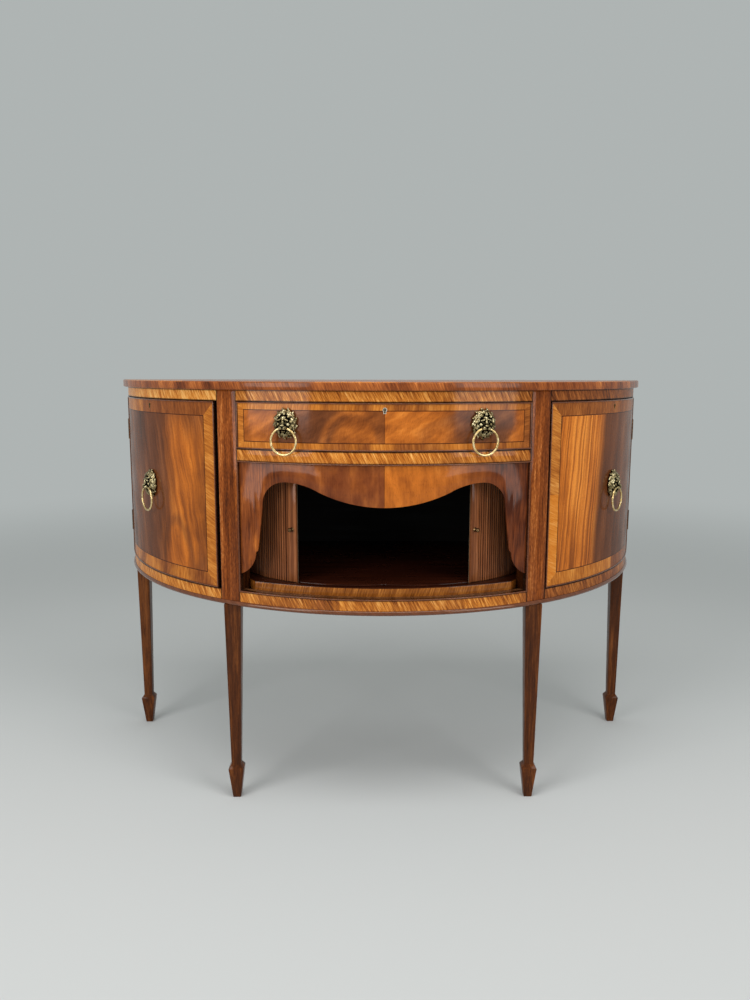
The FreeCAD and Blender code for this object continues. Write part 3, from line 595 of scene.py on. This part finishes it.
def ledgeFinish():
    finish, start = startFinish("ledgeMahogany")
    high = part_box("compartment_floor")[1]
    x, y, z = places(start)
    arc, radius = bowPlaces(start, x, y)
    tone = bandTone(start, arc, z, 103.0, -0.3)
    board = boardGrain(start, y, x, (107.0, 0.012, 0.3, 1.1), (109.0, 0.003, 0.1, 0.8))
    front = fade(high.z - z, *ledgeLook["frontBelow"]) * fade(radius, *ledgeLook["lip"])
    colour = blendColour(ramp(board, ledgeLook["floor"]), ramp(tone, ledgeLook["front"]), front)
    closeFinish(start, colour, wearRough(start, x, y, 0.24, 0.4), board, frenchPolish)
    return finish


insideLook = {
    # nearly black painted shade inside the middle compartment
    "paintedShade": [(0.0, tint(5, 3, 2)), (0.5, tint(10, 6, 4)), (1.0, tint(18, 11, 7))],
    "brown": [(0.0, tint(48, 27, 16)), (0.5, tint(74, 44, 26)), (1.0, tint(100, 64, 40))],
    "oak": [(0.0, tint(112, 80, 50)), (0.5, tint(148, 110, 72)), (1.0, tint(174, 136, 94))],
    "back": [(0.0, tint(72, 50, 34)), (0.5, tint(104, 76, 52)), (1.0, tint(132, 100, 70))],
    # half the width of the middle compartment, and the height of one board of the back
    "half": 0.354, "board": 0.118,
}


# unpolished wood, with painted shade nearly black inside the middle compartment
def plainFinish(name, tones, stretch, paintedShadeUpTo=0.0):
    finish, start = startFinish(name)
    place = places(start)
    x, y, z = place
    scaled = {"X": x * stretch[0], "Y": y * stretch[1], "Z": z * stretch[2]}
    spot = start.make("ShaderNodeCombineXYZ", {}, scaled)
    broad = start.make("ShaderNodeTexNoise", {}, {"Vector": spot, "Scale": 1.0, "Detail": 4.0, "Roughness": 0.6})
    fine = start.make("ShaderNodeTexNoise", {}, {"Vector": spot, "Scale": 7.0, "Detail": 3.0, "Roughness": 0.6})
    tone = fade(broad * 0.6 + fine * 0.4, 0.32, 0.68)
    colour = ramp(tone, tones)
    if paintedShadeUpTo:
        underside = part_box("bottom_board")[0].z
        paintedShade = fade(size(x), paintedShadeUpTo + 0.0005, paintedShadeUpTo) * fade(z, underside + 0.0005, underside + 0.0012)
        colour = blendColour(colour, ramp(tone, insideLook["paintedShade"]), paintedShade)
    closeFinish(start, colour, fade(broad, 0.2, 0.8) * 0.2 + 0.5, fine, plainWood)
    return finish


# the back, of boards laid one above the other
def backFinish():
    finish, start = startFinish("backBoards")
    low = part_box("back_panel")[0]
    x, y, z = places(start)
    share, half = insideLook["board"], insideLook["half"]
    seed = 7.0
    grain = boardGrain(start, z, x, (121.0, 0.012, 0.3, 1.1), (123.0, 0.0025, 0.12, 0.9))
    tone = grain + (pieceTone(start, z, share, seed) - 0.5) * 0.4
    joint = fade(size(start.math("FRACT", z * (1 / share) + seed * pieceShift) - 0.5), 0.488, 0.497)
    colour = blendColour(ramp(tone, insideLook["back"]), mahogany["darkFill"], joint * 0.8)
    stainAndShade = ramp(tone, insideLook["brown"])
    # inside the middle compartment the back is painted nearly black: painted shade
    stainAndShade = blendColour(stainAndShade, ramp(tone, insideLook["paintedShade"]), fade(size(x), half + 0.002, half))
    colour = blendColour(stainAndShade, colour, fade(y, low.y + 0.001, low.y + 0.0015))
    closeFinish(start, colour, fade(tone, 0.2, 0.8) * 0.2 + 0.55, grain - joint * 2, plainWood)
    return finish


dirtRough = 0.62


def brassFinish(name, look):
    finish, start = startFinish(name)
    place = places(start)
    cloud = solidFigure(start, place, 4.0, 0.006, 0.006, 5.0)
    pits = solidFigure(start, place, 8.0, 0.0009, 0.0009)
    unmarked = fade(openness(start, look["reach"]) + (cloud - 0.5) * 0.25, *look["darkening"])
    metal = ramp(fade(cloud, 0.3, 0.7), look["metal"])
    colour = blendColour(look["darkFill"], metal, unmarked)
    rough = dirtRough - unmarked * (dirtRough - look["rough"]) + (cloud - 0.5) * 0.15
    closeFinish(start, colour, rough, pits, {"bump": 0.15, "relief": 0.0002, "metal": look.get("metalness", 1.0)})
    return finish


brassLook = {
    "mask": {"reach": 0.006, "darkening": (0.58, 1.0), "darkFill": tint(10, 8, 5), "rough": 0.18, "metalness": 0.95,
             "metal": [(0.0, tint(98, 84, 54)), (0.5, tint(152, 136, 96)), (1.0, tint(216, 202, 160))]},
    "ring": {"reach": 0.004, "darkening": (0.2, 0.6), "darkFill": tint(70, 52, 28), "rough": 0.2, "metalness": 0.75,
             "metal": [(0.0, tint(176, 146, 90)), (0.5, tint(212, 184, 126)), (1.0, tint(236, 214, 164))]},
    "knob": {"reach": 0.006, "darkening": (0.2, 0.8), "darkFill": tint(24, 16, 10), "rough": 0.2,
             "metal": [(0.0, tint(70, 50, 32)), (0.5, tint(98, 74, 48)), (1.0, tint(130, 102, 68))]},
    "thread": {"reach": 0.004, "darkening": (0.0, 0.15), "darkFill": tint(20, 14, 8), "rough": 0.25, "metalness": 0.5,
               "metal": [(0.0, tint(196, 184, 160)), (1.0, tint(244, 236, 220))]},
    "fitting": {"reach": 0.006, "darkening": (0.2, 0.7), "darkFill": tint(60, 44, 26), "rough": 0.34,
                "metal": [(0.0, tint(140, 108, 62)), (0.5, tint(176, 140, 84)), (1.0, tint(200, 168, 110))]},
}


canvasLook = {"tones": [(0.0, tint(92, 80, 62)), (1.0, tint(140, 126, 100))], "threads": 5200.0, "rough": 0.9}


def canvasFinish():
    finish, start = startFinish("tambourCanvas")
    place = places(start)
    x, y, z = place
    threads = canvasLook["threads"]
    weave = start.math("SINE", z * threads) * start.math("SINE", (x + y) * threads)
    cloud = solidFigure(start, place, 3.0, 0.03, 0.03)
    tone = fade(cloud + weave * 0.12, 0.25, 0.75)
    colour = ramp(tone, canvasLook["tones"])
    closeFinish(start, colour, canvasLook["rough"], weave, {"bump": 0.4, "relief": 0.0004})
    return finish


finishes = {
    "top": topFinish(), "leg": legFinish(), "bead": beadFinish(), "apron": apronFinish(),
    "doorleft": doorFinish("left"), "doorright": doorFinish("right"), "drawer": drawerFinish(),
    "tambour": tambourFinish(), "ledge": ledgeFinish(), "canvas": canvasFinish(),
    "inside": plainFinish("insideStainAndPaintedShade", insideLook["brown"], (90, 90, 5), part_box("partition_right")[1].x - 0.001),
    "boards": plainFinish("boardsStainAndPaintedShade", insideLook["brown"], (5, 90, 90), insideLook["half"]),
    "oakSide": plainFinish("drawerSideOak", insideLook["oak"], (120, 6, 120)),
    "oakBottom": plainFinish("drawerBottomOak", insideLook["oak"], (8, 110, 110)),
    "back": backFinish(),
    "mask": brassFinish("maskBrass", brassLook["mask"]),
    "ring": brassFinish("ringBrass", brassLook["ring"]),
    "thread": brassFinish("threadBrass", brassLook["thread"]),
    "fitting": brassFinish("fittingBrass", brassLook["fitting"]), "knob": brassFinish("knobBrass", brassLook["knob"]),
    "rail": railFinish("top"), "footRail": railFinish("foot"),
}
print("finishes made:", len(finishes))


def deselect():
    bpy.ops.object.select_all(action="DESELECT")


def activate(piece):
    deselect()
    piece.select_set(True)
    bpy.context.view_layer.objects.active = piece


def addModifier(piece, kind, settings):
    activate(piece)
    modifier = piece.modifiers.new(kind.lower(), kind)
    for name, value in settings.items():
        setattr(modifier, name, value)
    bpy.ops.object.modifier_apply(modifier=modifier.name)


def paint(piece, finish):
    piece.data.materials.clear()
    piece.data.materials.append(finish)


# lays a bowed piece out straight, along x
def unroll(piece):
    for vertex in piece.data.vertices:
        x, y, z = vertex.co
        back = bow["axisY"] - y
        vertex.co = (bow["faceRadius"] * math.atan2(x, back), -math.hypot(x, back), z)


def rollUp(piece):
    for vertex in piece.data.vertices:
        turn = vertex.co.x / bow["faceRadius"]
        radius = -vertex.co.y
        vertex.co = (radius * math.sin(turn), bow["axisY"] - radius * math.cos(turn), vertex.co.z)


bowed = {"finishes": ["rail", "footRail", "bead", "apron", "drawer", "doorleft", "doorright"], "strip": 0.006}
cleanUp = {"merge": 0.00001, "flat": 0.3, "bevelPast": 40, "smoothBelow": 32}  # metres, then degrees


# the bow in narrow even strips, so that the polish shines evenly
def evenStrips(piece):
    ends = [vertex.co.x for vertex in piece.data.vertices]
    count = math.ceil((max(ends) - min(ends)) / bowed["strip"])
    bpy.ops.object.mode_set(mode="EDIT")
    for i in range(1, count):
        bpy.ops.mesh.select_all(action="SELECT")
        spot = min(ends) + (max(ends) - min(ends)) * i / count
        bpy.ops.mesh.bisect(plane_co=(spot, 0, 0), plane_no=(1, 0, 0))
    bpy.ops.object.mode_set(mode="OBJECT")


# the worn copy of a node: joined up, edges softened, curves shaded smooth
def wornCopy(name, look, soften):
    activate(nodes[name])
    bpy.ops.object.duplicate()
    piece = bpy.context.view_layer.objects.active
    piece.name = piece.data.name = name + "_worn"
    del piece["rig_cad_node"]
    bpy.ops.mesh.customdata_custom_splitnormals_clear()
    isBowed = look in bowed["finishes"]
    if isBowed:
        unroll(piece)
    bpy.ops.object.mode_set(mode="EDIT")
    bpy.ops.mesh.select_all(action="SELECT")
    bpy.ops.mesh.remove_doubles(threshold=cleanUp["merge"])
    bpy.ops.mesh.dissolve_limited(angle_limit=math.radians(cleanUp["flat"]))
    bpy.ops.object.mode_set(mode="OBJECT")
    if isBowed:
        evenStrips(piece)
        rollUp(piece)
    if soften:
        addModifier(piece, "BEVEL", {"width": soften, "segments": 2, "use_clamp_overlap": True,
                                     "limit_method": "ANGLE", "angle_limit": math.radians(cleanUp["bevelPast"]),
                                     "miter_outer": "MITER_ARC"})
    addModifier(piece, "TRIANGULATE", {})
    activate(piece)
    bpy.ops.object.shade_smooth_by_angle(angle=math.radians(cleanUp["smoothBelow"]))
    paint(piece, finishes[look])
    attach(piece, nodes[name]["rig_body"])
    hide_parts(name)
    return piece


# node: finish, edge softening in metres, slot
worn = {
    "top": ("top", 0.0012, "top_wood"),
    "leg_front_left": ("leg", 0.0009, "leg_wood"), "leg_front_right": ("leg", 0.0009, "leg_wood"),
    "leg_back_left": ("leg", 0.0009, "leg_wood"), "leg_back_right": ("leg", 0.0009, "leg_wood"),
    "top_rail_front": ("rail", 0.0, "rail_wood"), "top_rail_left": ("rail", 0.0, "rail_wood"),
    "top_rail_right": ("rail", 0.0, "rail_wood"),
    "bottom_rail_front": ("footRail", 0.0, "rail_wood"), "bottom_rail_left": ("footRail", 0.0, "rail_wood"),
    "bottom_rail_right": ("footRail", 0.0, "rail_wood"), "drawer_divider": ("rail", 0.0004, "rail_wood"),
    "bottom_bead": ("bead", 0.0, "bead_wood"), "recess_bead": ("bead", 0.0, "bead_wood"),
    "drawer_cockbead": ("bead", 0.0, "bead_wood"), "door_cockbead_left": ("bead", 0.0, "bead_wood"),
    "door_cockbead_right": ("bead", 0.0, "bead_wood"),
    "apron": ("apron", 0.0006, "apron_wood"), "drawer_front": ("drawer", 0.0, "drawer_wood"),
    "door_left": ("doorleft", 0.0, "door_wood"), "door_right": ("doorright", 0.0, "door_wood"),
    "tambour_slats_left": ("tambour", 0.0, "tambour_wood"),
    "tambour_slats_right": ("tambour", 0.0, "tambour_wood"),
    "tambour_lead_left": ("tambour", 0.0008, "tambour_wood"),
    "tambour_lead_right": ("tambour", 0.0008, "tambour_wood"),
    "compartment_floor": ("ledge", 0.0006, "floor_wood"),
    "drawer_ring_left": ("ring", 0.0, "brass"), "drawer_ring_right": ("ring", 0.0, "brass"),
    "door_ring_left": ("ring", 0.0, "brass"), "door_ring_right": ("ring", 0.0, "brass"),
    "tambour_knob_left": ("knob", 0.0, "brass"), "tambour_knob_right": ("knob", 0.0, "brass"),
}
for name, (look, soften, slot) in worn.items():
    wornCopy(name, look, soften)
print("worn copies made:", len(worn))

# nodes that keep their own mesh
plain = {
    "inside": ["partition_left", "partition_right"],
    "boards": ["bottom_board", "compartment_ceiling", "drawer_runners", "drawer_kickers", "glue_blocks"],
    "back": ["back_panel"],
    "oakSide": ["drawer_side_left", "drawer_side_right"],
    "oakBottom": ["drawer_back", "drawer_bottom"],
    "canvas": ["tambour_canvas_left", "tambour_canvas_right"],
    "knob": ["hinge_frame_left", "hinge_frame_right", "hinge_door_left", "hinge_door_right"],
    "fitting": ["door_lock_left", "door_lock_right"],
    "thread": ["drawer_lock"],
}
for finish, names in plain.items():
    for name in names:
        for place in nodes[name].material_slots:
            place.material = finishes[finish]


# lion mask, modelled facing the front with its seat at y = 0, sizes in millimetres
lionLook = {
    "half": (25.0, 30.0), "seat": (19.5, 4.5, 24.5),
    # count, from and to share of the half sizes, stand-off at root and tip, half width, wave in degrees
    "manes": [(13, 0.62, 1.04, 5.6, 2.4, 3.7, 14), (12, 0.62, 0.90, 8.0, 6.0, 3.3, -14),
              (10, 0.60, 0.78, 10.0, 8.6, 2.8, 12)],
    "taper": (0.8, 1.0, 1.0, 0.82, 0.5),
    "voxel": 0.00036, "smooth": 2, "keep": 0.45, "deep": 1.28,
    # place, half sizes and tilt of the forms of the face; pairs are mirrored
    "middle": [((0, -6.2, 0.5), (13.6, 6.4, 14.6), 0), ((0, -10.0, 12.0), (6.2, 3.4, 3.8), 0),
               ((0, -13.4, 3.4), (3.0, 3.4, 7.4), 0), ((0, -17.0, -2.8), (4.4, 2.5, 2.3), 0),
               ((0, -11.4, -15.0), (4.6, 3.4, 2.4), 0), ((0, -8.5, -6.5), (9.0, 5.6, 6.6), 0)],
    "pairs": [((6.8, -13.0, 8.2), (6.0, 2.7, 1.9), 20), ((6.4, -11.7, 4.2), (2.3, 1.7, 1.4), 0),
              ((4.7, -14.2, -8.0), (5.0, 4.4, 4.2), -12), ((10.2, -10.6, -1.0), (3.9, 3.3, 4.4), 24)],
    "beard": [(-9.6, -17.0, 26), (-5.0, -20.5, 12), (0.0, -21.5, 0), (5.0, -20.5, -12), (9.6, -17.0, -26)],
    "beardSize": (2.2, 3.0, 6.6), "beardOut": 8.0,
    # in metres: height above the ring's pin, depth sunk into the veneer, and how far back it is cut flat
    "abovePin": 0.0095, "sunk": 0.0004, "flatAt": 0.0002,
}


def form(place, half, tilt, rings=8):
    bpy.ops.mesh.primitive_uv_sphere_add(segments=2 * rings, ring_count=rings, radius=0.001,
                                         location=[v / 1000 for v in place], rotation=(0, math.radians(tilt), 0))
    bpy.context.object.scale = half
    return bpy.context.object


# one wavy lock of the mane, from the face outwards
def lock(turn, mane):
    count, first, last, root, tip, half, wave = mane
    wide, tall = lionLook["half"]
    steps = len(lionLook["taper"])
    spots = []
    for i in range(steps + 1):
        share = i / steps
        bend = turn + math.radians(wave) * math.sin(math.pi * 1.6 * share)
        reach = first + (last - first) * share
        spots.append((wide * reach * math.sin(bend), -(root + (tip - root) * share), tall * reach * math.cos(bend)))
    pieces = []
    for i, (a, b) in enumerate(zip(spots, spots[1:])):
        thin = lionLook["taper"][i]
        middle = [(p + q) / 2 for p, q in zip(a, b)]
        length = math.dist(a, b)
        tilt = math.degrees(math.atan2(b[0] - a[0], b[2] - a[2]))
        pieces.append(form(middle, (half * thin, half * thin, length * 1.05), tilt, 6))
    return pieces


def modelLion():
    deselect()
    forms = [form((0, 0, 0), lionLook["seat"], 0, 12)]
    for k, mane in enumerate(lionLook["manes"]):
        for i in range(mane[0]):
            forms += lock(2 * math.pi * (i + 0.5 * k) / mane[0], mane)
    forms += [form(place, half, tilt, 10) for place, half, tilt in lionLook["middle"]]
    for (x, y, z), half, tilt in lionLook["pairs"]:
        forms += [form((x, y, z), half, tilt), form((-x, y, z), half, -tilt)]
    forms += [form((x, -lionLook["beardOut"], z), lionLook["beardSize"], tilt) for x, z, tilt in lionLook["beard"]]
    deselect()
    for part in forms:
        part.select_set(True)
    bpy.context.view_layer.objects.active = forms[0]
    bpy.ops.object.join()
    lion = bpy.context.object
    bpy.ops.object.transform_apply(location=True, rotation=True, scale=True)
    lion.scale = (1, lionLook["deep"], 1)
    bpy.ops.object.transform_apply(location=True, rotation=True, scale=True)
    addModifier(lion, "REMESH", {"mode": "VOXEL", "voxel_size": lionLook["voxel"]})
    addModifier(lion, "SMOOTH", {"factor": 0.5, "iterations": lionLook["smooth"]})
    bpy.ops.object.mode_set(mode="EDIT")  # flat at the back, where it sits on the veneer
    bpy.ops.mesh.select_all(action="SELECT")
    bpy.ops.mesh.bisect(plane_co=(0, lionLook["flatAt"], 0), plane_no=(0, 1, 0), use_fill=True, clear_outer=True)
    bpy.ops.object.mode_set(mode="OBJECT")
    addModifier(lion, "DECIMATE", {"ratio": lionLook["keep"]})
    return lion


def setLion(pattern, node, ring):
    pivot = [Vector(j["pos_m"]) for j in frame["joints"] if j["child"] == ring][0]
    turn = math.atan2(pivot.x, bow["axisY"] - pivot.y)
    activate(pattern)
    bpy.ops.object.duplicate()
    lion = bpy.context.object
    lion.name = lion.data.name = node + "_cast"
    face = bow["faceRadius"] - lionLook["sunk"]
    seat = (face * math.sin(turn), bow["axisY"] - face * math.cos(turn), pivot.z + lionLook["abovePin"])
    lion.matrix_world = Matrix.Translation(seat) @ Matrix.Rotation(turn, 4, "Z")
    bpy.ops.object.transform_apply(location=True, rotation=True, scale=True)
    bpy.ops.object.shade_smooth()
    paint(lion, finishes["mask"])
    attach(lion, nodes[node]["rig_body"])
    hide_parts(node)


lionPattern = modelLion()
for node, ring in {"drawer_mask_left": "left_drawer_ring", "drawer_mask_right": "right_drawer_ring",
                   "door_mask_left": "left_door_ring", "door_mask_right": "right_door_ring"}.items():
    setLion(lionPattern, node, ring)
bpy.data.objects.remove(lionPattern)
print("lion masks set")

# colours, the strength of the plain background, and where the floor starts and ends to run into it
stage = {"floor": tint(206, 207, 206), "sky": tint(200, 206, 205),
         "light": 0.74, "near": 1.9, "far": 5.0, "reach": 40}


def makeStage():
    deselect()
    bpy.ops.mesh.primitive_circle_add(vertices=96, radius=stage["reach"], fill_type="NGON", location=(0, 0, 0))
    floor = bpy.context.object
    floor.name = "floor"
    finish, start = startFinish("paleFloor")
    x, y, z = places(start)
    paint(floor, finish)
    # far from the piece the floor runs into the plain background
    away = fade(start.math("SQRT", x * x + y * y), stage["near"], stage["far"])
    surface = {"Base Color": stage["floor"], "Roughness": 0.9, "Specular IOR Level": 0.2}
    matt = start.make("ShaderNodeBsdfPrincipled", {}, surface, "BSDF")
    sky = start.make("ShaderNodeEmission", {}, {"Color": stage["sky"], "Strength": stage["light"]})
    shader = start.make("ShaderNodeMixShader", {}, {0: away, 1: matt, 2: sky})
    start.make("ShaderNodeOutputMaterial", {}, {"Surface": shader})
    world = bpy.data.worlds.new("studio")
    scene.world = world
    world.use_nodes = True
    world.node_tree.nodes.clear()
    start = Wire(world.node_tree)
    light = start.make("ShaderNodeBackground", {}, {"Color": stage["sky"], "Strength": stage["light"]})
    start.make("ShaderNodeOutputWorld", {}, {"Surface": light})


lamps = [  # place, aim, width, height, watts
    ((-2.2, -2.3, 1.5), (0, 0, 0.75), 1.6, 1.8, 42),
    ((2.2, -2.3, 1.5), (0, 0, 0.75), 1.6, 1.8, 33),
    ((0.0, -0.8, 2.3), (0, -0.1, 0.8), 2.2, 0.8, 22),
]


def makeLamps():
    for place, aim, wide, tall, watts in lamps:
        bpy.ops.object.light_add(type="AREA", location=place)
        lamp = bpy.context.object
        lamp.rotation_euler = (Vector(aim) - Vector(place)).to_track_quat("-Z", "Y").to_euler()
        lamp.data.shape = "RECTANGLE"
        lamp.data.size, lamp.data.size_y, lamp.data.energy = wide, tall, watts


# stands a little left of the middle, just above the height of the top
view = {"place": (-0.0304, -1.877, 0.931), "pitch": 8.75, "yaw": 0.407, "roll": 0.12, "lens": 29.7, "sensor": 36.0}


def makeCamera():
    bpy.ops.object.camera_add(location=view["place"])
    camera = bpy.context.object
    camera.data.lens = view["lens"]
    camera.data.sensor_width = view["sensor"]
    yaw = Matrix.Rotation(math.radians(-view["yaw"]), 4, "Z")
    pitch = Matrix.Rotation(math.radians(90 - view["pitch"]), 4, "X")
    turn = yaw @ pitch @ Matrix.Rotation(math.radians(view["roll"]), 4, "Z")
    camera.rotation_euler = turn.to_euler()
    scene.camera = camera


makeStage()
makeLamps()
makeCamera()
scene.view_settings.view_transform = "Standard"
print("stage, lamps and camera set")
